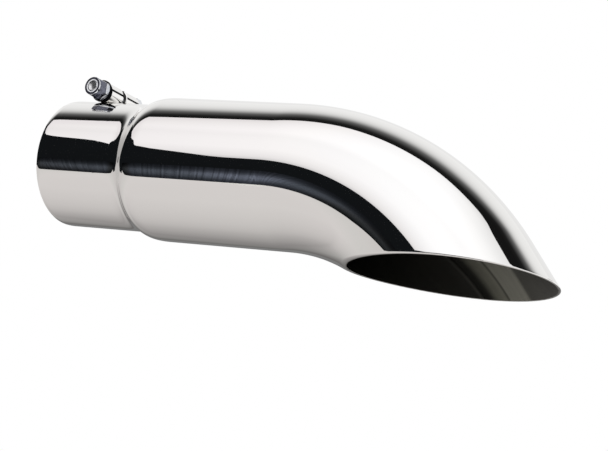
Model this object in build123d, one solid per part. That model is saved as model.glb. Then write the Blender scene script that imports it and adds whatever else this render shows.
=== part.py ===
from build123d import *
import os
from math import cos, radians, sin

# Turn-down exhaust tip, in millimetres and degrees.
# A bent stainless tube is necked down at its inlet and butt-welded to a split collar, which slides over
# the tailpipe. Two short barrels, welded on either side of the collar's slit, are drawn together by one
# bolt with a washer and a locking nut. The outlet is cut off level, so that the toe reaches furthest.
# The origin is the centre of the collar's mouth, +X runs along the collar into the tip, and the outlet
# faces -Z.

# Collar
COLLAR_BORE = 64.0  # slides over a 63.5 mm (2.5 inch) tailpipe
COLLAR_WALL = 2.0
COLLAR_LENGTH = 47.5  # from the mouth to the weld, where the neck begins
MOUTH_CHAMFER = 0.5

# Body tube
BODY_OD = 76.2  # 3 inch tube
BODY_WALL = 1.2
NECK_LENGTH = 21.5  # length over which the tube is necked down to the collar
NECK_HOLLOW = 0.585  # reach of the tangent in the neck's hollow, as a share of the neck's length
NECK_SHOULDER = 0.725  # the same at its shoulder
BODY_RUN = 98.3  # from the weld to the start of the bend, neck included
BEND_RADIUS = 152.4  # to the tube's centre line, twice the tube's diameter
BEND_ANGLE = 46.9
TOE_RUN = 29.3  # straight wall past the bend, measured along its outside to the toe of the cut
CUT_RISE = 1.3  # tilt of the outlet cut, up towards the toe

# Slit in the collar
SLIT_WIDTH = 3.0
SLIT_LENGTH = 36.0  # from the mouth to the centre of the round end
SLIT_END_RADIUS = 2.5
CLAMP_TURN = 2.3  # the slit and its clamp sit this far round the collar from the top, towards -Y

# Clamp barrels
BARREL_OD = 11.0
BARREL_LENGTH = 11.5
BARREL_CHAMFER = 0.4
BOLT_INSET = 17.0  # bolt axis behind the mouth
BOLT_LIFT = 3.8  # bolt axis above the collar's outer face
BOLT_HOLE_CLEARANCE = 0.3  # all round the bolt, in the barrels and the washer

# Bolt, washer and locking nut, of the 6 mm size
BOLT_DIAMETER = 6.0
BOLT_TIP_CHAMFER = 0.4
BOLT_SHY = 0.2  # the bolt's tip lies this far inside the nut's outer face
HEAD_HEIGHT = 4.0
SPANNER_SIZE = 10.0  # across the flats of the head and the nut
CORNER_SLOPE = 30.0  # chamfer that rounds off the hexagon's corners
NUT_TURN = 38.0  # the nut's first corner, round the bolt from +X towards +Z
WASHER_OD = 12.0
WASHER_THICKNESS = 1.6
NUT_HEIGHT = 8.0  # washer face to the lip round the locking ring
NUT_HEX_HEIGHT = 5.6
NUT_NECK_HEIGHT = 0.8  # cone between the hexagon and the round collar
NUT_COLLAR_OD = 9.8
NUT_LIP = 0.3  # steel left round the locking ring
THREAD_CLEARANCE = 0.05  # all round the bolt, in the nut and the locking ring
LOCK_RING_DEPTH = 2.2
LOCK_RING_ROUND = 0.3

# Worked out from the sizes above
COLLAR_RADIUS = COLLAR_BORE / 2 + COLLAR_WALL
BODY_RADIUS = BODY_OD / 2
BODY_BORE_RADIUS = BODY_RADIUS - BODY_WALL
BEND_START = COLLAR_LENGTH + BODY_RUN
BEND_AXIS = Axis((BEND_START, 0, -BEND_RADIUS), (0, 1, 0))
BOLT_RADIUS = BOLT_DIAMETER / 2
BOLT_HOLE_RADIUS = BOLT_RADIUS + BOLT_HOLE_CLEARANCE
THREAD_BORE_RADIUS = BOLT_RADIUS + THREAD_CLEARANCE
HEX_CORNER_RADIUS = SPANNER_SIZE / 2 / cos(radians(30))
LOCK_RING_RADIUS = NUT_COLLAR_OD / 2 - NUT_LIP
BARREL_END = SLIT_WIDTH / 2 + BARREL_LENGTH  # from the middle of the slit
NUT_SEAT = BARREL_END + WASHER_THICKNESS
NUT_FACE = NUT_SEAT + NUT_HEIGHT

# The clamp stands over the slit. On the bolt, +Z runs from the middle of the slit towards the nut.
CLAMP = Rot(CLAMP_TURN, 0, 0)
BOLT = CLAMP * Pos(BOLT_INSET, 0, COLLAR_RADIUS + BOLT_LIFT) * Rot(90, 0, 0)


def turned(points):
    """A solid of revolution about Z, from the corners (radius, height) of half its section."""
    return revolve(Plane.XZ * make_face(Polyline(*points, close=True)), Axis.Z)


def along_x(radius, length):
    """A cylinder about the X axis that starts at the collar's mouth."""
    return extrude(Plane.YZ * Circle(radius), length)


def inlet_collar():
    """The split collar: a short tube with a slit from its mouth to a round end that keeps it from tearing."""
    tube = along_x(COLLAR_RADIUS, COLLAR_LENGTH) - along_x(COLLAR_BORE / 2, COLLAR_LENGTH)
    mouth = tube.faces().sort_by(Axis.X).first
    tube = chamfer(mouth.edges(), MOUTH_CHAMFER)
    slit = Rectangle(SLIT_LENGTH, SLIT_WIDTH, align=(Align.MIN, Align.CENTER))
    slit += Pos(SLIT_LENGTH, 0) * Circle(SLIT_END_RADIUS)
    return tube - CLAMP * extrude(slit, COLLAR_RADIUS + COLLAR_WALL)


def neck_curve(start_radius, end_radius):
    """Half the section of the neck: a hollow out of the collar, then a shoulder onto the tube."""
    start, end = COLLAR_LENGTH, COLLAR_LENGTH + NECK_LENGTH
    return Bezier(
        (start, start_radius),
        (start + NECK_HOLLOW * NECK_LENGTH, start_radius),
        (end - NECK_SHOULDER * NECK_LENGTH, end_radius),
        (end, end_radius),
    )


def tip_body():
    """The necked and bent tube, cut off level at the outlet."""
    outside = neck_curve(COLLAR_RADIUS, BODY_RADIUS)
    inside = neck_curve(COLLAR_BORE / 2, BODY_BORE_RADIUS)
    rest = [
        Polyline(outside @ 1, (BEND_START, BODY_RADIUS), (BEND_START, BODY_BORE_RADIUS), inside @ 1),
        Line(inside @ 0, outside @ 0),
    ]
    run = revolve(Plane.XZ * make_face([outside, inside, *rest]), Axis.X)

    ring = Plane.YZ.offset(BEND_START) * (Circle(BODY_RADIUS) - Circle(BODY_BORE_RADIUS))
    bend = revolve(ring, BEND_AXIS, revolution_arc=BEND_ANGLE)
    # The straight end is left long, for the cut to trim.
    end = extrude(ring.rotate(BEND_AXIS, BEND_ANGLE), TOE_RUN + BODY_OD)

    turn = radians(BEND_ANGLE)
    outer_bend_radius = BEND_RADIUS + BODY_RADIUS
    toe = (
        BEND_START + outer_bend_radius * sin(turn) + TOE_RUN * cos(turn),
        0,
        outer_bend_radius * cos(turn) - BEND_RADIUS - TOE_RUN * sin(turn),
    )
    cut = Plane(toe, x_dir=(1, 0, 0), z_dir=(0, 0, 1)).rotated((0, -CUT_RISE, 0))
    return split(run + bend + end, bisect_by=cut, keep=Keep.TOP)


def clamp_barrel(side):
    """One barrel, near the nut (side 1) or the head (side -1), coped to sit on the collar."""
    barrel = Cylinder(BARREL_OD / 2, BARREL_LENGTH)
    barrel = chamfer(barrel.edges(), BARREL_CHAMFER)
    barrel -= Cylinder(BOLT_HOLE_RADIUS, BARREL_LENGTH)
    middle = side * (SLIT_WIDTH + BARREL_LENGTH) / 2
    return BOLT * Pos(0, 0, middle) * barrel - along_x(COLLAR_RADIUS, COLLAR_LENGTH)


def hexagon(height):
    """A hexagonal bar that stands on Z = 0, with its first corner on +X."""
    return extrude(RegularPolygon(HEX_CORNER_RADIUS, 6), height)


def corner_drop(radius):
    """How far the corner chamfer has fallen at the corners, where it starts level at this radius."""
    return (HEX_CORNER_RADIUS - radius) * sin(radians(CORNER_SLOPE)) / cos(radians(CORNER_SLOPE))


def clamp_bolt():
    """The hexagon bolt, head against the far barrel and tip just inside the nut."""
    tip = NUT_FACE - BOLT_SHY
    shank = turned(
        [
            (0, -BARREL_END),
            (BOLT_RADIUS, -BARREL_END),
            (BOLT_RADIUS, tip - BOLT_TIP_CHAMFER),
            (BOLT_RADIUS - BOLT_TIP_CHAMFER, tip),
            (0, tip),
        ]
    )
    face_radius = SPANNER_SIZE / 2
    blank = turned(
        [
            (0, 0),
            (face_radius, 0),
            (HEX_CORNER_RADIUS, corner_drop(face_radius)),
            (HEX_CORNER_RADIUS, HEAD_HEIGHT),
            (0, HEAD_HEIGHT),
        ]
    )
    head = Pos(0, 0, -BARREL_END - HEAD_HEIGHT) * (hexagon(HEAD_HEIGHT) & blank)
    return BOLT * (head + shank)


def clamp_washer():
    """The flat washer between the near barrel and the nut."""
    ring = Circle(WASHER_OD / 2) - Circle(BOLT_HOLE_RADIUS)
    return BOLT * Pos(0, 0, BARREL_END) * extrude(ring, WASHER_THICKNESS)


def clamp_nut():
    """The locking nut: a hexagon with a round collar, which holds the locking ring in a recess."""
    seat_radius, collar_radius = SPANNER_SIZE / 2, NUT_COLLAR_OD / 2
    blank = turned(
        [
            (0, 0),
            (seat_radius, 0),
            (HEX_CORNER_RADIUS, corner_drop(seat_radius)),
            (HEX_CORNER_RADIUS, NUT_HEX_HEIGHT),
            (collar_radius, NUT_HEX_HEIGHT + NUT_NECK_HEIGHT),
            (collar_radius, NUT_HEIGHT),
            (0, NUT_HEIGHT),
        ]
    )
    nut = Rot(0, 0, NUT_TURN) * hexagon(NUT_HEIGHT) & blank
    nut -= extrude(Circle(THREAD_BORE_RADIUS), NUT_HEIGHT)
    recess = Pos(0, 0, NUT_HEIGHT - LOCK_RING_DEPTH) * extrude(Circle(LOCK_RING_RADIUS), LOCK_RING_DEPTH)
    return BOLT * Pos(0, 0, NUT_SEAT) * (nut - recess)


def nut_lock_ring():
    """The plastic ring in the nut's recess, which grips the bolt."""
    ring = extrude(Circle(LOCK_RING_RADIUS) - Circle(THREAD_BORE_RADIUS), LOCK_RING_DEPTH)
    ring = fillet(ring.faces().sort_by(Axis.Z).last.edges(), LOCK_RING_ROUND)
    return BOLT * Pos(0, 0, NUT_FACE - LOCK_RING_DEPTH) * ring


PARTS = {
    "tip_body": tip_body(),
    "inlet_collar": inlet_collar(),
    "clamp_barrel_near": clamp_barrel(1),
    "clamp_barrel_far": clamp_barrel(-1),
    "clamp_bolt": clamp_bolt(),
    "clamp_washer": clamp_washer(),
    "clamp_nut": clamp_nut(),
    "nut_lock_ring": nut_lock_ring(),
}

os.makedirs("parts", exist_ok=True)
for name, part in PARTS.items():
    export_step(part, f"parts/{name}.step")
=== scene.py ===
"""Turn-down exhaust tip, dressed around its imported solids, with a studio and a camera.

Lengths are metres in the frame of the solids. The origin is the centre of the inlet collar's mouth, +X runs
along the collar into the tip, and the outlet faces -Z.
"""
import logging
import math
from dataclasses import dataclass
from enum import Enum

import bpy
import numpy as np
from mathutils import Euler, Matrix, Vector

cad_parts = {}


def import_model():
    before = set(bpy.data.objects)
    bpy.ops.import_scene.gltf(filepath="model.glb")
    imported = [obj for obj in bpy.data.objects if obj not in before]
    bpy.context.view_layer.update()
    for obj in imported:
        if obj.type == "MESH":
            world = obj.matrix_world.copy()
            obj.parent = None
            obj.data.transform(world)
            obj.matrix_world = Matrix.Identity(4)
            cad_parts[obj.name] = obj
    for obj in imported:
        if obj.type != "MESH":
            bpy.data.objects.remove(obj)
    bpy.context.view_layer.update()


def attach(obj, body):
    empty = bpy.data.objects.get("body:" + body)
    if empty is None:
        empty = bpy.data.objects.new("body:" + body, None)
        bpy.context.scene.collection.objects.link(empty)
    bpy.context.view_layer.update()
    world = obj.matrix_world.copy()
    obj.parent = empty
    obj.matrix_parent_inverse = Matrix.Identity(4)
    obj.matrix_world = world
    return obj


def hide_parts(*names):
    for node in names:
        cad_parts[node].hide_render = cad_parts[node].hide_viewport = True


MM = 0.001
SKIN_MAP = "skin"  # UV map of every piece: metres along the piece and round it
CARD_MAP = "card"  # UV map of a studio card: the scene's X and metres from the card's near edge
SHARP = math.radians(28)  # edges that turn by more stay sharp
MERGE = 2e-6  # points closer together than this are one
Point = tuple[float, float, float]
Shades = tuple[tuple[float, str], ...]  # distances in metres, each with its colour
BENDING_SIZES = ("bend_start", "bend_radius", "bend_angle", "cut_level", "cut_rise")  # for the tube's tree
LOG = logging.getLogger("exhaust_tip")

# Sizes that more than one piece takes
COLLAR_RADIUS = 34.0 * MM
COLLAR_BORE = 32.0 * MM
COLLAR_LENGTH = 47.5 * MM
TUBE_RADIUS = 38.1 * MM
SLIT_WIDTH = 3.0 * MM
CLAMP_TURN = math.radians(2.3)  # of the slit and the clamp, round the collar from its top


class Zone(Enum):
    """Which finish a strip of the tube's wall has."""

    OUTSIDE = 0
    CUT_EDGE = 1
    INSIDE = 2


class Side(Enum):
    """Which end of the clamp a barrel is at, as its sign along the bolt."""

    NEAR = 1
    FAR = -1


def linear(hex_colour: str) -> tuple[float, float, float, float]:
    """Turn an sRGB hex colour into linear RGBA.

    Args:
        hex_colour: six hex digits after a #.

    Returns:
        Linear red, green and blue, with an alpha of 1.
    """
    channels = [int(hex_colour[i : i + 2], 16) / 255 for i in (1, 3, 5)]
    red, green, blue = (c / 12.92 if c <= 0.04045 else ((c + 0.055) / 1.055) ** 2.4 for c in channels)
    return red, green, blue, 1.0


def add_node(
    tree: bpy.types.NodeTree, kind: str, links: dict | None = None, **settings: object
) -> bpy.types.Node:
    """Add one node to a shader or geometry tree.

    Args:
        tree: the tree that gets the node.
        kind: the node's type name.
        links: what each input gets, by its name or number: a socket to link, or a plain value.
        settings: the node's own settings.

    Returns:
        The new node.
    """
    node = tree.nodes.new(kind)
    for name, value in settings.items():
        setattr(node, name, value)
    for key, value in (links or {}).items():
        if isinstance(value, bpy.types.NodeSocket):
            tree.links.new(value, node.inputs[key])
        else:
            node.inputs[key].default_value = value
    return node


def new_material(name: str) -> tuple[bpy.types.Material, bpy.types.NodeTree]:
    """Start an empty node material.

    Args:
        name: the material's name.

    Returns:
        The material and its tree, without nodes.
    """
    material = bpy.data.materials.new(name)
    material.use_nodes = True
    material.node_tree.nodes.clear()
    return material, material.node_tree


def colour_row(tree: bpy.types.NodeTree, place: bpy.types.NodeSocket, stops: Shades) -> bpy.types.NodeSocket:
    """Add a row of colours along a distance or another value.

    Args:
        tree: the material's tree.
        place: the value.
        stops: the row's places on it, each with its colour.

    Returns:
        The colour's socket.
    """
    low, high = stops[0][0], stops[-1][0]
    share = add_node(tree, "ShaderNodeMapRange", {"Value": place, "From Min": low, "From Max": high})
    ramp = add_node(tree, "ShaderNodeValToRGB", {"Fac": share.outputs[0]})
    elements = ramp.color_ramp.elements
    while len(elements) < len(stops):
        elements.new(0.5)
    for element, (at, _) in zip(elements, stops):
        element.position = (at - low) / (high - low)
    for element, (_, colour) in zip(elements, stops):
        element.color = linear(colour)
    return ramp.outputs["Color"]


@dataclass(frozen=True)
class Grain:
    """A fine pattern of a real size, which a surface's roughness and height follow."""

    size: Point  # along the piece and round it, or in the scene's X, Y and Z
    depth: float
    roughness: tuple[float, float]  # the surface's lowest and highest
    spread: tuple[float, float]  # levels of the noise that these belong to
    detail: float  # how many finer layers it has
    harshness: float  # how strong the finer layers are

    def lay(
        self, tree: bpy.types.NodeTree, place: bpy.types.NodeSocket
    ) -> tuple[bpy.types.NodeSocket, dict[str, bpy.types.NodeSocket]]:
        """Lay the grain over a surface.

        Args:
            tree: the material's tree.
            place: the coordinates, in metres.

        Returns:
            The grain's noise, and what the shader's inputs get from it.
        """
        scale = tuple(1 / length for length in self.size)
        at = add_node(tree, "ShaderNodeMapping", {"Vector": place, "Scale": scale})
        look = {"Vector": at.outputs[0], "Scale": 1, "Detail": self.detail, "Roughness": self.harshness}
        noise = add_node(tree, "ShaderNodeTexNoise", look).outputs["Fac"]
        levels = {"Value": noise, "From Min": self.spread[0], "From Max": self.spread[1]}
        levels |= {"To Min": self.roughness[0], "To Max": self.roughness[1]}
        rough = add_node(tree, "ShaderNodeMapRange", levels)
        bump = add_node(tree, "ShaderNodeBump", {"Strength": 1.0, "Distance": self.depth, "Height": noise})
        return noise, {"Roughness": rough.outputs[0], "Normal": bump.outputs[0]}


@dataclass(frozen=True)
class PolishedSteel:
    """Stainless steel buffed to a mirror.

    The buffing wheel leaves hair-fine lines round the tube, so reflections are sharp, with a faint drag
    across the lines where something dark meets something bright.
    """

    name: str = "mirror_polished_stainless_steel"
    colour: str = "#F4F3F1"
    roughness: tuple[float, float] = (0.012, 0.03)
    spread: tuple[float, float] = (0.35, 0.7)  # levels of the lines' noise that these belong to
    line_spacing: float = 0.9 * MM  # real lines are finer, and this is as fine as shows
    line_length: float = 30 * MM
    line_depth: float = 0.15e-6

    def material(self) -> bpy.types.Material:
        """Build the finish's material.

        Returns:
            The material.
        """
        material, tree = new_material(self.name)
        skin = add_node(tree, "ShaderNodeUVMap", uv_map=SKIN_MAP)
        size = (self.line_spacing, self.line_length, 1.0)
        lines = Grain(size, self.line_depth, self.roughness, self.spread, detail=3, harshness=0.6)
        _, inputs = lines.lay(tree, skin.outputs[0])
        inputs |= {"Base Color": linear(self.colour), "Metallic": 1.0}
        shader = add_node(tree, "ShaderNodeBsdfPrincipled", inputs)
        add_node(tree, "ShaderNodeOutputMaterial", {"Surface": shader.outputs[0]})
        return material


@dataclass(frozen=True)
class GrainedFinish:
    """A surface that was left as rolled, ground, plated or moulded.

    It is fine-grained, so it shows soft patches of light and dark instead of a clear picture, with streaks
    where it was drawn or ground one way.
    """

    name: str
    dark: str
    light: str
    roughness: tuple[float, float]
    grain: Point  # size of the grain: along the piece and round it, or in the scene's X, Y and Z
    depth: float
    on_skin: bool = False
    metallic: float = 1.0
    gloss: float = 0.5  # the shader's specular level
    spread: tuple[float, float] = (0.3, 0.7)  # levels of the grain's noise that dark and light belong to
    bands: Shades = ()  # shades by the distance round the piece

    def material(self) -> bpy.types.Material:
        """Build the finish's material.

        Returns:
            The material.
        """
        material, tree = new_material(self.name)
        if self.on_skin:
            place = add_node(tree, "ShaderNodeUVMap", uv_map=SKIN_MAP).outputs[0]
        else:
            place = add_node(tree, "ShaderNodeTexCoord").outputs["Object"]
        grain = Grain(self.grain, self.depth, self.roughness, self.spread, detail=4, harshness=0.65)
        noise, inputs = grain.lay(tree, place)
        shade = colour_row(tree, noise, tuple(zip(self.spread, (self.dark, self.light))))
        if self.bands:
            split = add_node(tree, "ShaderNodeSeparateXYZ", {0: place})
            both = {0: shade, 1: colour_row(tree, split.outputs["Y"], self.bands)}
            shade = add_node(tree, "ShaderNodeVectorMath", both, operation="MULTIPLY").outputs[0]
        inputs |= {"Base Color": shade, "Metallic": self.metallic, "Specular IOR Level": self.gloss}
        shader = add_node(tree, "ShaderNodeBsdfPrincipled", inputs)
        add_node(tree, "ShaderNodeOutputMaterial", {"Surface": shader.outputs[0]})
        return material


# The inside keeps the mill's dull skin, drawn out along the tube.
RAW_INSIDE = GrainedFinish(
    "unpolished_tube_inside", "#6A6A62", "#75756C", (0.5, 0.6), (60 * MM, 2.5 * MM, 1.0), 3e-6, True, 0.4
)
# Bands round the tube paint light and shade on the inside: painted shade beside the seam, then a painted
# highlight strip with one fine dark line in it, and a grey painted lighter and darker the rest of the way.
# The distances are round the tube, from the seam and back to it.
SEAMED_INSIDE = GrainedFinish(
    "tube_inside_painted_light_bands",
    "#8A8980",
    "#98978C",
    (0.42, 0.55),
    (60 * MM, 2.5 * MM, 1.0),
    3e-6,
    True,
    0.4,
    bands=(
        (0.1748, "#828282"),
        (0.1758, "#4E4E4E"),
        (0.1782, "#5A5A5A"),
        (0.1808, "#D0D0CC"),
        (0.1857, "#F4F4F0"),
        (0.186, "#9A9A98"),
        (0.1863, "#FFFFFF"),
        (0.1958, "#F0F0F0"),
        (0.1974, "#868686"),
        (0.205, "#7A7A7A"),
        (0.215, "#6A6A6A"),
        (0.33, "#767676"),
        (0.413, "#626262"),
        (0.4142, "#828282"),
    ),
)
# A belt grinder leaves short scratches across the cut edge.
GROUND_EDGE = GrainedFinish(
    "ground_steel_edge", "#8E8D8A", "#C9C8C4", (0.2, 0.35), (0.4 * MM, 4 * MM, 1.0), 3e-6, on_skin=True
)
# The barrels' ends and bores are dull as the saw left them; their dark colour is painted shade, for the slit
# between the barrels.
SAWN_END = GrainedFinish("sawn_steel_end", "#4A4A4A", "#7C7B79", (0.3, 0.45), (0.5 * MM,) * 3, 4e-6)
# Bright zinc is nearly a mirror, with a faint cloudiness and a cold tint.
ZINC_PLATE = GrainedFinish(
    "bright_zinc_plated_steel", "#D6D9DE", "#EEEFF1", (0.08, 0.16), (1.2 * MM,) * 3, 0.6e-6
)
# Painted shade: the nut's flats, its collar and its top face are zinc painted dark and slate blue.
ZINC_PAINTED_DARK = GrainedFinish("zinc_painted_dark_shade", "#595B67", "#777985", (0.16, 0.26), (1.2 * MM,) * 3, 1e-6)
# Painted shadow: matt and all but black, for the shade where the washer meets the near barrel.
PAINTED_SHADOW_BLACK = GrainedFinish(
    "painted_shadow_black", "#0B0B0D", "#1B1C20", (0.6, 0.8), (0.8 * MM,) * 3, 5e-6, metallic=0.0, gloss=0.0
)
# The bolt's end is dished and mottled from the rolling, and bright.
ROLLED_END = GrainedFinish(
    "rolled_bolt_end", "#E2E6E7", "#FCFCFD", (0.1, 0.2), (0.8 * MM,) * 3, 2e-6, metallic=0.93
)
# The weld is rippled and dark.
WELD_METAL = GrainedFinish("stainless_weld_metal", "#1F1D1C", "#5F5B57", (0.25, 0.45), (0.6 * MM,) * 3, 5e-6)
# Nylon is satin and all but black, with a blue cast where light rakes it.
NAVY_NYLON = GrainedFinish(
    "moulded_navy_nylon", "#0B0C1C", "#1B1D38", (0.3, 0.45), (0.5 * MM,) * 3, 3e-6, metallic=0.0
)
# The hole's edge is pale.
PALE_NYLON = GrainedFinish(
    "pale_nylon_edge", "#D4D6DC", "#F6F7F9", (0.3, 0.45), (0.5 * MM,) * 3, 3e-6, metallic=0.0
)


def put(name: str, data: bpy.types.ID) -> bpy.types.Object:
    """Add an object to the scene.

    Args:
        name: the object's name.
        data: its mesh, lamp or camera.

    Returns:
        The new object, at the origin.
    """
    thing = bpy.data.objects.new(name, data)
    bpy.context.scene.collection.objects.link(thing)
    return thing


def grid_mesh(
    name: str,
    points: np.ndarray,
    spans: np.ndarray,
    materials: list[bpy.types.Material],
    zones: np.ndarray,
    wrap_rows: bool = True,
    flip: bool = False,
) -> bpy.types.Object:
    """Make an object from a grid of points whose columns close on themselves.

    Args:
        name: the object's name.
        points: rows by columns by 3.
        spans: rows by columns + 1 by 2, the UV map's metres along the piece and round it.
        materials: the object's materials.
        zones: the material's number for the faces that start at each row.
        wrap_rows: whether the last row joins the first.
        flip: whether the faces turn the other way.

    Returns:
        The new object, linked to the scene.
    """
    rows, columns = points.shape[:2]
    last = rows if wrap_rows else rows - 1
    i, j = np.meshgrid(np.arange(last), np.arange(columns), indexing="ij")
    below, beside = (i + 1) % rows, (j + 1) % columns
    corners = [(i, j, j), (below, j, j), (below, beside, j + 1), (i, beside, j + 1)]
    if flip:
        corners = corners[::-1]
    faces = np.stack([row * columns + column for row, column, _ in corners], axis=-1).reshape(-1, 4)
    skin = np.stack([spans[row, place] for row, _, place in corners], axis=-2).reshape(-1, 2)

    mesh = bpy.data.meshes.new(name)
    mesh.vertices.add(rows * columns)
    mesh.vertices.foreach_set("co", points.reshape(-1).astype(np.float32))
    mesh.loops.add(faces.size)
    mesh.loops.foreach_set("vertex_index", faces.reshape(-1).astype(np.int32))
    mesh.polygons.add(len(faces))
    mesh.polygons.foreach_set("loop_start", np.arange(0, faces.size, 4, dtype=np.int32))
    for material in materials:
        mesh.materials.append(material)
    mesh.polygons.foreach_set("material_index", np.repeat(zones[:last], columns).astype(np.int32))
    mesh.update(calc_edges=True)
    mesh.uv_layers.new(name=SKIN_MAP).data.foreach_set("uv", skin.reshape(-1).astype(np.float32))
    mesh.validate()
    mesh.shade_smooth()
    return put(name, mesh)


def settle(piece: bpy.types.Object, sharp: float = SHARP) -> None:
    """Turn a piece and its modifiers into one plain mesh.

    Args:
        piece: the piece.
        sharp: edges that turn by more than this stay sharp.
    """
    graph = bpy.context.evaluated_depsgraph_get()
    mesh = bpy.data.meshes.new_from_object(piece.evaluated_get(graph), depsgraph=graph)
    mesh.name = piece.name
    piece.modifiers.clear()
    piece.data = mesh
    mesh.set_sharp_from_angle(angle=sharp)


def new_rule(
    name: str, takes: str, gives: str, sizes: tuple[str, ...], finishes: tuple[str, ...]
) -> bpy.types.NodeTree:
    """Start a geometry tree with its inputs and its output.

    Args:
        name: the tree's name.
        takes: name of the geometry that goes in.
        gives: name of the geometry that comes out.
        sizes: names of the sizes that go in.
        finishes: names of the materials that go in.

    Returns:
        The tree, without nodes.
    """
    tree = bpy.data.node_groups.new(name, "GeometryNodeTree")
    sockets = [(takes, "INPUT", "NodeSocketGeometry")]
    sockets += [(size, "INPUT", "NodeSocketFloat") for size in sizes]
    sockets += [(finish, "INPUT", "NodeSocketMaterial") for finish in finishes]
    sockets += [(gives, "OUTPUT", "NodeSocketGeometry")]
    for label, way, kind in sockets:
        tree.interface.new_socket(label, in_out=way, socket_type=kind)
    return tree


def run_rule(piece: bpy.types.Object, rule: bpy.types.NodeTree, given: dict) -> None:
    """Run a geometry tree on a piece and keep what it makes.

    Args:
        piece: the piece.
        rule: the tree.
        given: the sizes and materials that go in, by name.
    """
    modifier = piece.modifiers.new(rule.name, "NODES")
    modifier.node_group = rule
    for socket in rule.interface.items_tree:
        if socket.name in given:
            modifier[socket.identifier] = given[socket.name]
    settle(piece)


def fit_out(piece: bpy.types.Object, slot: str, *nodes: str) -> None:
    """Hand a finished piece to the frame.

    Args:
        piece: the piece.
        slot: the record's material slot; not used.
        nodes: the solids that the piece stands for.
    """
    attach(piece, "root")
    if nodes:
        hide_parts(*nodes)
    LOG.info("%s: %d faces", piece.name, len(piece.data.polygons))


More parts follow.
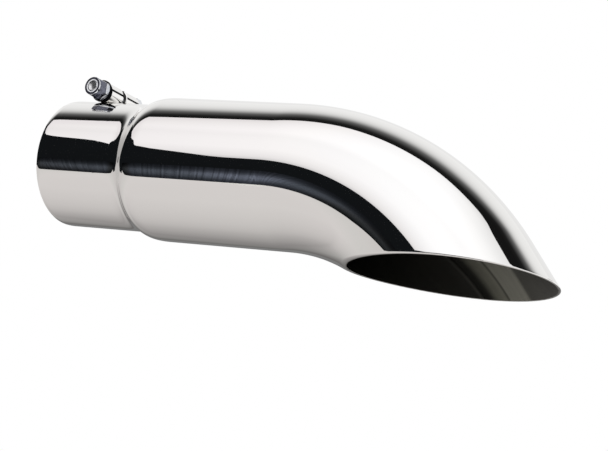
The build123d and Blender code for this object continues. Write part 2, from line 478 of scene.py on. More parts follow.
@dataclass
class TipBody:
    """The necked and bent tube, cut off level at the outlet."""

    collar_radius: float = COLLAR_RADIUS
    collar_bore: float = COLLAR_BORE
    radius: float = TUBE_RADIUS
    wall: float = 1.2 * MM
    weld_place: float = COLLAR_LENGTH  # where the neck meets the collar
    neck: float = 21.5 * MM
    neck_hollow: float = 0.585  # reach of the tangent in the neck's hollow, as a share of the neck
    neck_shoulder: float = 0.725  # the same at its shoulder
    run: float = 98.3 * MM
    bend_radius: float = 152.4 * MM
    bend_angle: float = math.radians(46.9)
    toe_run: float = 29.3 * MM
    cut_rise: float = math.radians(1.3)
    outer_round: float = 0.8 * MM  # buffed edge of the cut
    inner_break: float = 0.15 * MM
    seam_turn: float = math.radians(263)  # the tube's own lengthwise weld, on the far side
    seam_width: float = 3.0 * MM
    seam_height: float = 0.35 * MM  # it stands proud inside only
    outside_rows: tuple[int, int, int] = (48, 8, 120)  # along the neck, the run and the bend
    inside_rows: tuple[int, int, int] = (16, 4, 64)
    round_rows: int = 6  # round the cut's buffed edge
    columns: int = 240
    seam_columns: int = 8  # on each side of the seam's middle

    @property
    def bend_start(self) -> float:
        """Where the bend starts, along X."""
        return self.weld_place + self.run

    @property
    def cut_level(self) -> float:
        """Work out where the cut lies.

        Returns:
            Its height over the bend's axis, square to the cut.
        """
        arm = self.bend_radius + self.radius
        toe_x = arm * math.sin(self.bend_angle) + self.toe_run * math.cos(self.bend_angle)
        toe_z = arm * math.cos(self.bend_angle) - self.toe_run * math.sin(self.bend_angle)
        return toe_z * math.cos(self.cut_rise) - toe_x * math.sin(self.cut_rise)

    def neck_line(self, start: float, full: float, steps: int) -> list[tuple[float, float]]:
        """Follow the neck's section, a hollow out of the collar and then a shoulder onto the tube.

        Args:
            start: the radius at the weld.
            full: the radius of the tube.
            steps: how many points to give.

        Returns:
            Run before the bend and radius of each point, up to the neck's end but without it.
        """
        share = np.linspace(0, 1, steps, endpoint=False)
        rest = 1 - share
        weights = np.stack([rest**3, 3 * share * rest**2, 3 * share**2 * rest, share**3])
        runs = np.array((0.0, self.neck_hollow, 1 - self.neck_shoulder, 1.0)) * self.neck - self.run
        radii = np.array((start, start, full, full))
        return list(zip(runs @ weights, radii @ weights))

    def wall_rows(self) -> tuple[np.ndarray, list[Zone]]:
        """Go once round the wall's section, from the weld along the outside and back inside.

        Returns:
            One row each of run, radius and lift, and each row's zone. Run is metres before the bend where it
            is negative, and past that the share of the way to the cut. Lift is the height over the cut at
            which that line of the wall would end.
        """
        rows: list[tuple[float, float, float]] = []
        zones: list[Zone] = []
        bore = self.radius - self.wall
        lines = (
            (Zone.OUTSIDE, self.collar_radius, self.radius, self.outer_round, self.outside_rows),
            (Zone.INSIDE, self.collar_bore, bore, self.inner_break, self.inside_rows),
        )
        for zone, start, full, lift, (neck_rows, run_rows, bend_rows) in lines:
            line = [(run, radius, lift) for run, radius in self.neck_line(start, full, neck_rows)]
            for step in range(run_rows):
                line.append(((self.neck - self.run) * (1 - step / run_rows), full, lift))
            for step in range(bend_rows + 1):
                line.append((step / bend_rows, full, lift))
            if zone is Zone.INSIDE:
                line.reverse()
            rows += line
            zones += [zone] * len(line)
            if zone is Zone.OUTSIDE:
                drop = self.outer_round
                for step in range(1, self.round_rows + 1):
                    turn = math.pi / 2 * step / self.round_rows
                    rows.append((1.0, full - drop + drop * math.cos(turn), drop - drop * math.sin(turn)))
                    zones.append(Zone.OUTSIDE if step < self.round_rows else Zone.CUT_EDGE)
                rows.append((1.0, bore + self.inner_break, 0.0))
                zones.append(Zone.CUT_EDGE)
        return np.array(rows), zones

    def column_turns(self) -> np.ndarray:
        """Place the tube's columns, closer together on the seam.

        Returns:
            Their turns from the seam and once round to it again.
        """
        half = self.seam_width / self.radius
        fine = np.linspace(0, half, self.seam_columns + 1)
        plain = np.linspace(half, 2 * math.pi - half, self.columns)
        return np.concatenate([fine[:-1], plain, (2 * math.pi - fine[:-1])[::-1]])

    def seam_ridge(self, turns: np.ndarray) -> np.ndarray:
        """Shape the seam's ridge.

        Args:
            turns: the columns' turns.

        Returns:
            How far the seam stands in from the bore at each of them.
        """
        off = np.abs((turns - self.seam_turn + math.pi) % (2 * math.pi) - math.pi) * self.radius
        share = np.clip(off / (self.seam_width / 2), 0, 1)
        return self.seam_height * (1 - share**2) ** 2

    def bending_rule(self) -> bpy.types.NodeTree:
        """Build the tree that rolls a flat sheet into the tube, bends it and trims it at the cut.

        Returns:
            The geometry tree, with the sizes and the materials as its inputs.
        """
        tree = new_rule("bent_tube", "Sheet", "Tube", BENDING_SIZES, tuple(Zone.__members__))
        given = add_node(tree, "NodeGroupInput")
        place = add_node(tree, "GeometryNodeInputPosition")
        flat = add_node(tree, "ShaderNodeSeparateXYZ", {0: place.outputs[0]})
        lift = add_node(tree, "GeometryNodeInputNamedAttribute", {"Name": "lift"}, data_type="FLOAT")
        value = {socket.name: socket for socket in given.outputs if socket.name}
        value |= {"run": flat.outputs[0], "turn": flat.outputs[1], "radius": flat.outputs[2]}
        value |= {"lift": lift.outputs[0], "nothing": 0.0}
        steps = (
            ("cos_turn", "COSINE", "turn", "nothing"),
            ("sin_turn", "SINE", "turn", "nothing"),
            ("reach", "MULTIPLY", "radius", "cos_turn"),
            ("arm", "ADD", "bend_radius", "reach"),
            # How far each line of the wall runs past the start of the bend, round the arc and straight on.
            ("level", "ADD", "cut_level", "lift"),
            ("slope", "DIVIDE", "level", "arm"),
            ("cut_turn", "ARCCOSINE", "slope", "nothing"),
            ("cut_angle", "SUBTRACT", "cut_turn", "cut_rise"),
            ("arc_angle", "MINIMUM", "cut_angle", "bend_angle"),
            ("arc", "MULTIPLY", "arc_angle", "bend_radius"),
            ("lean", "ADD", "bend_angle", "cut_rise"),
            ("cos_lean", "COSINE", "lean", "nothing"),
            ("sin_lean", "SINE", "lean", "nothing"),
            ("end_top", "MULTIPLY", "arm", "cos_lean"),
            ("end_height", "SUBTRACT", "end_top", "level"),
            ("end_run", "DIVIDE", "end_height", "sin_lean"),
            ("end", "MAXIMUM", "end_run", "nothing"),
            ("whole", "ADD", "arc", "end"),
            # Where this point lies on that way.
            ("share", "MAXIMUM", "run", "nothing"),
            ("way", "MULTIPLY", "share", "whole"),
            ("way_turn", "DIVIDE", "way", "bend_radius"),
            ("angle", "MINIMUM", "way_turn", "bend_angle"),
            ("way_round", "MULTIPLY", "angle", "bend_radius"),
            ("way_on", "SUBTRACT", "way", "way_round"),
            ("sin_angle", "SINE", "angle", "nothing"),
            ("cos_angle", "COSINE", "angle", "nothing"),
            ("before", "MINIMUM", "run", "nothing"),
            ("x_start", "ADD", "bend_start", "before"),
            ("x_round", "MULTIPLY", "arm", "sin_angle"),
            ("x_on", "MULTIPLY", "way_on", "cos_angle"),
            ("x_bent", "ADD", "x_start", "x_round"),
            ("x", "ADD", "x_bent", "x_on"),
            ("y_far", "MULTIPLY", "radius", "sin_turn"),
            ("y", "SUBTRACT", "nothing", "y_far"),
            ("z_round", "MULTIPLY", "arm", "cos_angle"),
            ("z_on", "MULTIPLY", "way_on", "sin_angle"),
            ("z_bent", "SUBTRACT", "z_round", "z_on"),
            ("z", "SUBTRACT", "z_bent", "bend_radius"),
        )
        for name, operation, first, second in steps:
            step = add_node(tree, "ShaderNodeMath", {0: value[first], 1: value[second]}, operation=operation)
            value[name] = step.outputs[0]
        bent = add_node(tree, "ShaderNodeCombineXYZ", {axis: value[axis.lower()] for axis in "XYZ"})
        moved = {"Geometry": value["Sheet"], "Position": bent.outputs[0]}
        shape = add_node(tree, "GeometryNodeSetPosition", moved)
        shape = add_node(tree, "GeometryNodeRealizeInstances", {0: shape.outputs[0]})
        zone_here = add_node(tree, "GeometryNodeInputNamedAttribute", {"Name": "zone"}, data_type="INT")
        for zone in Zone:
            both = {2: zone_here.outputs[0], 3: zone.value}
            here = add_node(tree, "FunctionNodeCompare", both, data_type="INT", operation="EQUAL")
            dressed = {"Geometry": shape.outputs[0], "Selection": here.outputs[0]}
            dressed["Material"] = value[zone.name]
            shape = add_node(tree, "GeometryNodeSetMaterial", dressed)
        add_node(tree, "NodeGroupOutput", {"Tube": shape.outputs[0]})
        return tree

    def build(self, finishes: list[bpy.types.Material]) -> bpy.types.Object:
        """Roll, bend and trim the tube.

        Args:
            finishes: one material for each zone.

        Returns:
            The finished piece.
        """
        rows, zones = self.wall_rows()
        turns = self.seam_turn + self.column_turns()
        columns = len(turns) - 1
        run, radius = rows[:, 0:1], rows[:, 1:2]
        inside = np.array([[zone is Zone.INSIDE] for zone in zones])
        flat = np.zeros((len(rows), columns, 3))
        flat[..., 0] = run
        flat[..., 1] = turns[:-1]
        flat[..., 2] = radius - inside * self.seam_ridge(turns[:-1])
        mean_way = self.bend_radius * self.bend_angle
        spans = np.zeros((len(rows), columns + 1, 2))
        spans[..., 0] = self.bend_start + np.where(run < 0, run, run * mean_way)
        spans[..., 1] = turns * self.radius
        numbers = np.array([zone.value for zone in zones])
        tube = grid_mesh("tip_tube", flat, spans, finishes, numbers, flip=True)
        lift = tube.data.attributes.new("lift", "FLOAT", "POINT")
        lift.data.foreach_set("value", np.repeat(rows[:, 2], columns).astype(np.float32))
        zone = tube.data.attributes.new("zone", "INT", "FACE")
        zone.data.foreach_set("value", np.repeat(numbers, columns).astype(np.int32))

        given = {name: getattr(self, name) for name in BENDING_SIZES}
        given |= {zone.name: finishes[zone.value] for zone in Zone}
        run_rule(tube, self.bending_rule(), given)
        for name in ("lift", "zone"):
            tube.data.attributes.remove(tube.data.attributes[name])
        return tube

    def dress(self) -> None:
        """Build the tube with its finishes and hand it to the frame."""
        finishes = [PolishedSteel().material(), GROUND_EDGE.material(), SEAMED_INSIDE.material()]
        fit_out(self.build(finishes), "polished_steel", "tip_body")


@dataclass
class InletCollar:
    """The split collar that slides over the tailpipe."""

    radius: float = COLLAR_RADIUS
    bore: float = COLLAR_BORE
    length: float = COLLAR_LENGTH
    mouth_roll: float = 0.25 * MM  # the buffed edge falls this much
    bore_roll: float = 0.15 * MM  # and the bore opens this much
    mouth_length: float = 3.0 * MM
    slit_width: float = SLIT_WIDTH
    slit_length: float = 36.0 * MM
    slit_end_radius: float = 2.5 * MM
    clamp_turn: float = CLAMP_TURN
    tube_radius: float = TUBE_RADIUS  # the finish's lines run on over the weld, at the tube's scale
    columns: int = 240
    mouth_rows: int = 8
    mouth_crowding: float = 1.5  # power that draws these rows towards the edge
    slit_rows: int = 8
    slit_end_rows: int = 24
    plain_rows: int = 5  # past the slit

    def slit_half(self, x: np.ndarray) -> np.ndarray:
        """Follow the slit from the mouth to its round end.

        Args:
            x: places along X.

        Returns:
            Half the slit's width at each of them.
        """
        past = x - self.slit_length
        round_end = np.sqrt(np.clip(self.slit_end_radius**2 - past**2, 0, None))
        straight = np.where(past < 0, self.slit_width / 2, 0)
        return np.maximum(round_end, straight)

    def stations(self) -> np.ndarray:
        """Place the collar's rows, close together at the mouth and round the slit's end.

        Returns:
            Their places along X.
        """
        corner = self.slit_length - math.sqrt(self.slit_end_radius**2 - (self.slit_width / 2) ** 2)
        corner_turn = math.acos((corner - self.slit_length) / self.slit_end_radius)
        sweep = np.linspace(corner_turn, 0, self.slit_end_rows + 1)
        parts = (
            self.mouth_length * np.linspace(0, 1, self.mouth_rows + 1)[:-1] ** self.mouth_crowding,
            np.linspace(self.mouth_length, corner, self.slit_rows + 1)[:-1],
            self.slit_length + self.slit_end_radius * np.cos(sweep),
            np.linspace(self.slit_length + self.slit_end_radius, self.length, self.plain_rows + 1)[1:],
        )
        return np.concatenate(parts)

    def rings(self, x: np.ndarray, radius: float, roll: float) -> np.ndarray:
        """Points of one wall, from one edge of the slit round to the other.

        Args:
            x: the rows' places along X.
            radius: the wall's radius.
            roll: how far the wall falls away at the mouth.

        Returns:
            Rows by columns + 1 by 3.
        """
        fall = roll * np.clip(1 - x / self.mouth_length, 0, 1) ** 2
        here = (radius - fall)[:, None]
        edge = np.arcsin(np.clip(self.slit_half(x) / radius, -1, 1))[:, None]
        turn = edge + np.linspace(0, 1, self.columns + 1) * (2 * math.pi - 2 * edge) + self.clamp_turn
        along = np.broadcast_to(x[:, None], turn.shape)
        return np.stack([along, -here * np.sin(turn), here * np.cos(turn)], -1)

    def build(self, finishes: list[bpy.types.Material]) -> bpy.types.Object:
        """Make the collar's two walls, its slit's edges and its ends.

        Args:
            finishes: the outside, the slit's and mouth's edges, and the inside.

        Returns:
            The finished piece.
        """
        x = self.stations()
        outside = self.rings(x, self.radius, self.mouth_roll)
        inside = self.rings(x, self.bore, -self.bore_roll)
        points = np.concatenate([outside, inside[::-1]])
        rows, width = points.shape[:2]
        half = len(x)
        faces, zones, skins = [], [], []
        turn = (self.clamp_turn + np.linspace(0, 2 * math.pi, width)) * self.tube_radius
        along = np.concatenate([x, x[::-1]])
        open_rows = int(np.sum(self.slit_half(x) > MERGE))

        def quad(corners: list[tuple[int, int]], zone: Zone) -> None:
            """Add one face.

            Args:
                corners: its corners' rows and columns.
                zone: which finish it has.
            """
            faces.append([row * width + column for row, column in corners])
            skins.extend((along[row], turn[column]) for row, column in corners)
            zones.append(zone.value)

        for row in range(rows):
            below = (row + 1) % rows
            zone = Zone.OUTSIDE if row < half - 1 else Zone.INSIDE
            if row in (half - 1, rows - 1):
                zone = Zone.CUT_EDGE
            for column in range(width - 1):
                quad([(row, column), (row, column + 1), (below, column + 1), (below, column)], zone)
        end = width - 1
        for row in range(open_rows):
            inner, below = rows - 1 - row, row + 1
            inner_below = inner - 1
            quad([(row, 0), (below, 0), (inner_below, 0), (inner, 0)], Zone.CUT_EDGE)
            quad([(row, end), (inner, end), (inner_below, end), (below, end)], Zone.CUT_EDGE)

        mesh = bpy.data.meshes.new("inlet_collar_split")
        mesh.from_pydata(points.reshape(-1, 3).tolist(), [], faces)
        for finish in finishes:
            mesh.materials.append(finish)
        mesh.polygons.foreach_set("material_index", np.array(zones, dtype=np.int32))
        skin = mesh.uv_layers.new(name=SKIN_MAP)
        skin.data.foreach_set("uv", np.array(skins, dtype=np.float32).reshape(-1))
        mesh.shade_smooth()
        piece = put("inlet_collar_split", mesh)
        weld = piece.modifiers.new("close", "WELD")
        weld.merge_threshold = MERGE
        settle(piece)
        return piece

    def dress(self) -> None:
        """Build the collar with its finishes and hand it to the frame."""
        finishes = [bpy.data.materials[PolishedSteel.name], bpy.data.materials[GROUND_EDGE.name]]
        finishes.append(RAW_INSIDE.material())
        fit_out(self.build(finishes), "polished_steel", "inlet_collar")


@dataclass
class Clamp:
    """Two barrels beside the slit, drawn together by a bolt with a washer and a locking nut."""

    collar_radius: float = COLLAR_RADIUS
    turn: float = CLAMP_TURN
    inset: float = 17.0 * MM
    lift: float = 3.8 * MM
    slit_width: float = SLIT_WIDTH
    barrel_radius: float = 5.5 * MM
    barrel_length: float = 11.5 * MM
    barrel_chamfer: float = 0.4 * MM
    hole_radius: float = 3.3 * MM
    bolt_radius: float = 3.0 * MM
    thread_pitch: float = 1.0 * MM
    thread_depth: float = 0.5 * MM
    thread_start: float = -8.0 * MM
    thread_steep: float = 1.35  # against a plain zigzag, which makes the crests and the roots flat
    thread_crest: float = 0.15  # share of the depth that the crests lose by it
    thread_fade: float = 2.0  # turns over which it deepens
    tip_dish: float = 0.19 * MM  # rolling the thread leaves the bolt's end a little hollow
    dish_halfway: float = 0.45  # share of that depth, halfway to its middle
    tip_chamfer: float = 0.4 * MM
    tip_shy: float = 0.2 * MM
    flat_radius: float = 5.0 * MM  # half the spanner size
    corner_slope: float = math.radians(30)  # chamfer that rounds off the hexagons' corners
    head_height: float = 4.0 * MM
    washer_radius: float = 6.0 * MM
    washer_thickness: float = 1.6 * MM
    washer_edge: float = 0.22 * MM
    nut_height: float = 8.0 * MM
    nut_hex_height: float = 5.6 * MM
    nut_neck: float = 0.8 * MM
    nut_collar_radius: float = 4.9 * MM
    nut_lip: float = 0.3 * MM
    nut_turn: float = math.radians(38)
    nut_painted_highlight: float = 0.9 * MM  # painted highlight: how far down from its top the nut's collar is painted bright
    nut_painted_foot: float = 1.9 * MM  # painted highlight along the flats' foot, past which the flats are painted dark as shade
    nut_edge: float = 0.18 * MM
    ring_depth: float = 2.2 * MM
    ring_round: float = 0.3 * MM
    ring_pale: float = 3.7 * MM  # radius inside which the ring's top is pale
    thread_clearance: float = 0.05 * MM
    shadow_low: float = 1.8 * MM  # reach of the painted shadow along the near barrel, at its foot
    shadow_high: float = 0.36 * MM  # and on its top
    bead_radius: float = 0.55 * MM
    bead_step: float = 0.7 * MM
    bead_stretch: float = 1.15  # of each ripple, along the weld
    sharp: float = math.radians(35)  # edges that turn by more stay sharp
    bevelled: float = math.radians(25)  # and by more than this get their bevel
    columns: int = 96
    barrel_rows: int = 8  # on the coped end, and on the outside
    bore_rows: int = 4
    thread_rows: int = 8  # for each turn
    round_rows: int = 5  # round each edge of the locking ring

    @property
    def place(self) -> Matrix:
        """The bolt's frame: Z from the slit's middle to the nut, Y up from the collar."""
        stand = Matrix.Translation((self.inset, 0, self.collar_radius + self.lift))
        return Matrix.Rotation(self.turn, 4, "X") @ stand @ Matrix.Rotation(math.pi / 2, 4, "X")

    @property
    def barrel_end(self) -> float:
        """Distance of a barrel's outer end from the slit's middle."""
        return self.slit_width / 2 + self.barrel_length

    @property
    def nut_seat(self) -> float:
        """Distance of the nut's seat from the slit's middle."""
        return self.barrel_end + self.washer_thickness

    @property
    def thread_bore(self) -> float:
        """Radius of the hole in the nut and in the locking ring."""
        return self.bolt_radius + self.thread_clearance

    @property
    def angles(self) -> np.ndarray:
        """The columns' angles round the bolt, with the first one again at the end."""
        return np.linspace(0, 2 * math.pi, self.columns + 1)

    def hex_radius(self, first_corner: float = 0.0) -> np.ndarray:
        """Distance from the bolt's axis to a hexagon's flats, at each column."""
        sixth = math.pi / 3
        return self.flat_radius / np.cos((self.angles - first_corner) % sixth - sixth / 2)

    def corner_drop(self, across: np.ndarray) -> np.ndarray:
        """How far the corners' chamfer has fallen at each column of a hexagon."""
        return (across - self.flat_radius) * math.tan(self.corner_slope)

    def turned(
        self,
        name: str,
        rows: list[tuple[np.ndarray | float, np.ndarray | float]],
        finishes: list[bpy.types.Material],
        zones: np.ndarray,
        edge: float = 0.0,
        wrap_rows: bool = True,
        flip: bool = True,
    ) -> bpy.types.Object:
        """Make a piece round the bolt's axis.

        Args:
            name: the piece's name.
            rows: radius and distance along the bolt for each row, as a number or one for each column.
            finishes: the piece's materials.
            zones: the material's number for the faces that start at each row.
            edge: width of the bevel on its edges.
            wrap_rows: whether the last row joins the first, as on a ring.
            flip: whether the rows run towards the nut on the outside.

        Returns:
            The piece.
        """
        shape = (len(rows), self.columns + 1)
        radius = np.array([np.broadcast_to(row[0], shape[1]) for row in rows])
        along = np.array([np.broadcast_to(row[1], shape[1]) for row in rows])
        local = np.stack([radius * np.cos(self.angles), radius * np.sin(self.angles), along], -1)
        place = np.array(self.place)
        points = local @ place[:3, :3].T + place[:3, 3]
        way = np.zeros(shape)
        way[1:] = np.cumsum(np.abs(np.diff(radius, axis=0)) + np.abs(np.diff(along, axis=0)), axis=0)
        spans = np.stack([way, np.broadcast_to(self.angles * self.flat_radius, shape)], -1)
        piece = grid_mesh(name, points[:, :-1], spans, finishes, zones, wrap_rows, flip)
        weld = piece.modifiers.new("close", "WELD")
        weld.merge_threshold = MERGE
        if edge:
            bevel = piece.modifiers.new("edges", "BEVEL")
            bevel.width = edge
            bevel.segments = 2
            bevel.limit_method = "ANGLE"
            bevel.angle_limit = self.bevelled
            bevel.material = 0
        settle(piece, self.sharp)
        return piece

    def cope(self, radius: float) -> np.ndarray:
        """How far from the slit's middle the collar's face reaches, on a cylinder about the bolt."""
        height = self.collar_radius + self.lift + radius * np.sin(self.angles)
        return np.sqrt(np.clip(self.collar_radius**2 - height**2, 0, None))

    def barrel(self, side: Side, finishes: list[bpy.types.Material]) -> bpy.types.Object:
        """Make one barrel, coped to the collar.

        Args:
            side: which barrel.
            finishes: the outside's material, that of the ends and the hole, and the one painted black as
                shadow by the washer.

        Returns:
            The piece.
        """
        start, end, soft = self.slit_width / 2, self.barrel_end, self.barrel_chamfer
        wide, hole = self.barrel_radius, self.hole_radius
        circles = np.linspace(hole, wide - soft, self.barrel_rows)
        inner_end = [(radius, np.maximum(start, self.cope(radius))) for radius in circles]
        first = np.maximum(start + soft, self.cope(wide))
        # Painted shadow: the near barrel's end by the washer is painted black, further along at its foot than
        # on its top.
        mean, swing = (self.shadow_low + self.shadow_high) / 2, (self.shadow_low - self.shadow_high) / 2
        shadow_reach = mean - swing * np.sin(self.angles)
        unshaded = np.maximum(end - soft - shadow_reach, first)
        skin = [(wide, first + (unshaded - first) * share) for share in np.linspace(0, 1, self.barrel_rows)]
        skin.append((wide, end - soft))
        outer_end = [(wide - soft, end), (hole, end)]
        shares = np.linspace(0, 1, self.bore_rows + 2)[1:-1]
        bore = [(hole, end - (end - start) * share) for share in shares]
        rows = [(radius, along * side.value) for radius, along in inner_end + skin + outer_end + bore]
        polished, sawn, shadowed = range(3)
        zones = np.full(len(rows), sawn)
        lip = len(inner_end) + len(skin) - 1
        zones[len(inner_end) - 1 : lip] = polished
        if side is Side.NEAR:
            zones[lip - 1 : lip + 1] = shadowed
        return self.turned(f"clamp_tube_{side.name.lower()}", rows, finishes, zones, flip=side is Side.NEAR)

    def bolt(self, finishes: list[bpy.types.Material]) -> bpy.types.Object:
        """Make the hexagon bolt with its rolled thread.

        Args:
            finishes: its material, and that of its end.

        Returns:
            The piece.
        """
        seat, top = -self.barrel_end, -self.barrel_end - self.head_height
        across = self.hex_radius()
        tip = self.nut_seat + self.nut_height - self.tip_shy
        rows = [(0.0, top), (self.flat_radius / 2, top), (self.flat_radius, top)]
        rows += [(across, top + self.corner_drop(across)), (across, seat)]
        rows += [(self.bolt_radius, seat), (self.bolt_radius, self.thread_start)]
        steps = round((tip - self.thread_start) / self.thread_pitch * self.thread_rows)
        for along in np.linspace(self.thread_start, tip, steps + 1)[1:]:
            phase = (along / self.thread_pitch - self.angles / (2 * math.pi)) % 1
            zigzag = 1 - np.abs(2 * phase - 1)
            groove = np.clip(self.thread_steep * zigzag - self.thread_crest, 0, 1)
            fade = min(1.0, (along - self.thread_start) / (self.thread_fade * self.thread_pitch))
            cone = self.bolt_radius - self.tip_chamfer + (tip - along)
            rows.append((np.minimum(self.bolt_radius - self.thread_depth * fade * groove, cone), along))
        rows += [(self.bolt_radius / 2, tip - self.tip_dish * self.dish_halfway), (0.0, tip - self.tip_dish)]
        zones = np.zeros(len(rows))
        zones[-3:] = 1  # the dished end
        return self.turned("clamp_bolt_threaded", rows, finishes, zones, wrap_rows=False)

    def nut(self, finishes: list[bpy.types.Material]) -> bpy.types.Object:
        """Make the locking nut.

        Args:
            finishes: the bright zinc, and the zinc painted dark as shade on the flats, the collar and the
                rolled lip.

        Returns:
            The piece.
        """
        bright, dark = 0, 1
        across, collar, thread = self.hex_radius(self.nut_turn), self.nut_collar_radius, self.thread_bore
        neck_top = self.nut_hex_height + self.nut_neck
        corner_radius = self.flat_radius / math.cos(math.pi / 6)
        cone = neck_top - self.nut_neck * (across - collar) / (corner_radius - collar)
        top, recess = self.nut_height, self.nut_height - self.ring_depth
        lip = collar - self.nut_lip
        # Painted light: bright bands at the flats' foot and at the collar's top stand in for highlights, and
        # the rest of the flats, the collar and the top face are painted dark as shade.
        section = [
            (thread, 0.0, bright),
            (self.flat_radius, 0.0, bright),
            (across, self.corner_drop(across), bright),
            (across, self.nut_painted_foot, dark),
            (across, cone, dark),
            (collar, neck_top, dark),
            (collar, top - self.nut_painted_highlight, bright),
            (collar, top, dark),
            (lip, top, bright),
            (lip, recess, bright),
            (thread, recess, bright),
        ]
        rows = [(radius, along + self.nut_seat) for radius, along, _ in section]
        zones = np.array([zone for _, _, zone in section])
        return self.turned("clamp_nut_hex", rows, finishes, zones, edge=self.nut_edge)

    def washer(self, finishes: list[bpy.types.Material]) -> bpy.types.Object:
        """Make the flat washer, whose edges are rounded by stamping.

        Args:
            finishes: its material, and the one painted black as shadow on its rim and the side against the
                barrel.

        Returns:
            The piece.
        """
        plain, shadowed = 0, 1
        low, high, wide, soft = self.barrel_end, self.nut_seat, self.washer_radius, self.washer_edge
        rows = [(self.hole_radius, low), (wide - soft, low), (wide, low + soft)]
        rows += [(wide, high - soft), (wide - soft, high), (self.hole_radius, high)]
        # Painted shadow: the side against the barrel, the rim and its chamfers are painted black, for the
        # shade between the washer and the barrel.
        zones = np.array([shadowed] * 4 + [plain] * 2)
        return self.turned("clamp_washer_flat", rows, finishes, zones)

    def lock_ring(self, finishes: list[bpy.types.Material]) -> bpy.types.Object:
        """Make the nylon ring that the nut holds.

        Args:
            finishes: its material, and that of the edge of its hole.

        Returns:
            The piece.
        """
        top, thread, soft = self.nut_seat + self.nut_height, self.thread_bore, self.ring_round
        lip, foot = self.nut_collar_radius - self.nut_lip, top - self.ring_depth
        turns = np.linspace(0, math.pi / 2, self.round_rows)
        edge = [(soft - soft * math.cos(turn), top - soft + soft * math.sin(turn)) for turn in turns]
        rows = [(thread, foot), (lip, foot)] + [(lip - inset, along) for inset, along in edge]
        pale_from = len(rows)
        rows += [(self.ring_pale, top)] + [(thread + inset, along) for inset, along in reversed(edge)]
        zones = np.zeros(len(rows))
        zones[pale_from:-1] = 1
        return self.turned("nut_nylon_ring", rows, finishes, zones)

    def bead_rule(self) -> bpy.types.NodeTree:
        """Build the tree that lays a weld bead's ripples along an edge path.

        Returns:
            The geometry tree, with the bead's sizes and its material as inputs.
        """
        tree = new_rule("weld_bead", "Path", "Bead", ("bead_radius", "bead_step"), ("Finish",))
        given = add_node(tree, "NodeGroupInput").outputs
        curve = add_node(tree, "GeometryNodeMeshToCurve", {0: given["Path"]})
        spacing = {"Curve": curve.outputs[0], "Length": given["bead_step"]}
        points = add_node(tree, "GeometryNodeCurveToPoints", spacing, mode="LENGTH").outputs
        ball = {"Radius": given["bead_radius"], "Subdivisions": 3}
        ripple = add_node(tree, "GeometryNodeMeshIcoSphere", ball)
        each = {"Points": points["Points"], "Instance": ripple.outputs[0], "Rotation": points["Rotation"]}
        each["Scale"] = (1.0, 1.0, self.bead_stretch)
        laid = add_node(tree, "GeometryNodeInstanceOnPoints", each)
        whole = add_node(tree, "GeometryNodeRealizeInstances", {0: laid.outputs[0]})
        smooth = add_node(tree, "GeometryNodeSetShadeSmooth", {0: whole.outputs[0]})
        finish = {"Geometry": smooth.outputs[0], "Material": given["Finish"]}
        dressed = add_node(tree, "GeometryNodeSetMaterial", finish)
        add_node(tree, "NodeGroupOutput", {"Bead": dressed.outputs[0]})
        return tree

    def weld_bead(self, side: Side, rule: bpy.types.NodeTree, finish: bpy.types.Material) -> bpy.types.Object:
        """Lay the weld where a barrel meets the collar.

        Args:
            side: which barrel.
            rule: the bead's tree.
            finish: the weld's material.

        Returns:
            The piece.
        """
        start = self.slit_width / 2 + self.bead_radius
        path = []
        for turn, reach in zip(self.angles[:-1], self.cope(self.barrel_radius)):
            if reach > start:
                across, up = self.barrel_radius * math.cos(turn), self.barrel_radius * math.sin(turn)
                path.append(self.place @ Vector((across, up, reach * side.value)))
        mesh = bpy.data.meshes.new("weld_path")
        mesh.from_pydata(path, [(k, k + 1) for k in range(len(path) - 1)], [])
        piece = put(f"weld_bead_{side.name.lower()}", mesh)
        given = {"bead_radius": self.bead_radius, "bead_step": self.bead_step, "Finish": finish}
        run_rule(piece, rule, given)
        return piece

    def dress(self) -> None:
        """Build the clamp's pieces with their finishes and hand them to the frame."""
        polished = bpy.data.materials[PolishedSteel.name]
        sawn, weld = SAWN_END.material(), WELD_METAL.material()
        zinc, flats, painted_shadow = ZINC_PLATE.material(), ZINC_PAINTED_DARK.material(), PAINTED_SHADOW_BLACK.material()
        rule = self.bead_rule()
        for side in Side:
            barrel = self.barrel(side, [polished, sawn, painted_shadow])
            fit_out(barrel, "polished_steel", f"clamp_barrel_{side.name.lower()}")
            fit_out(self.weld_bead(side, rule, weld), "polished_steel")
        fit_out(self.bolt([zinc, ROLLED_END.material()]), "plated_steel", "clamp_bolt")
        fit_out(self.washer([zinc, painted_shadow]), "plated_steel", "clamp_washer")
        fit_out(self.nut([zinc, flats]), "plated_steel", "clamp_nut")
        nylon = [NAVY_NYLON.material(), PALE_NYLON.material()]
        fit_out(self.lock_ring(nylon), "dark_nylon", "nut_lock_ring")


